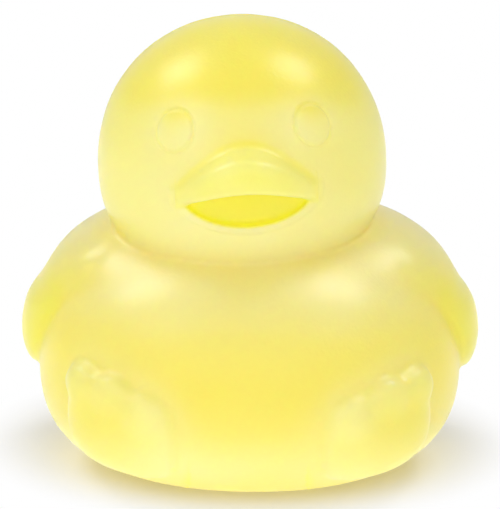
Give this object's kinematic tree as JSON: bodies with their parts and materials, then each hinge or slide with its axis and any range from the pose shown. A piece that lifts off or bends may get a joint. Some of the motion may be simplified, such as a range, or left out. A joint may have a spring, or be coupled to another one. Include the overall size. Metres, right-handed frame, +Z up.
{
  "type": "squishy duck toy",
  "caption": "Soft one-piece duck squeeze toy with a round head, open bill, wings wrapped on its flanks, webbed feet and a flat base to stand on.",
  "frame": {"origin": "centre of the flat base, on the surface that the duck stands on", "axes": "+Z up, -Y the way the bill points, +X the side on the right when the face is seen from the front"},
  "size_m": [0.066, 0.0626, 0.0661],
  "materials": {
    "soft_rubber": "translucent pale yellow soft rubber, satin, frosted all through"
  },
  "bodies": {
    "root": {"duck": "soft_rubber"}
  },
  "joints": []
}
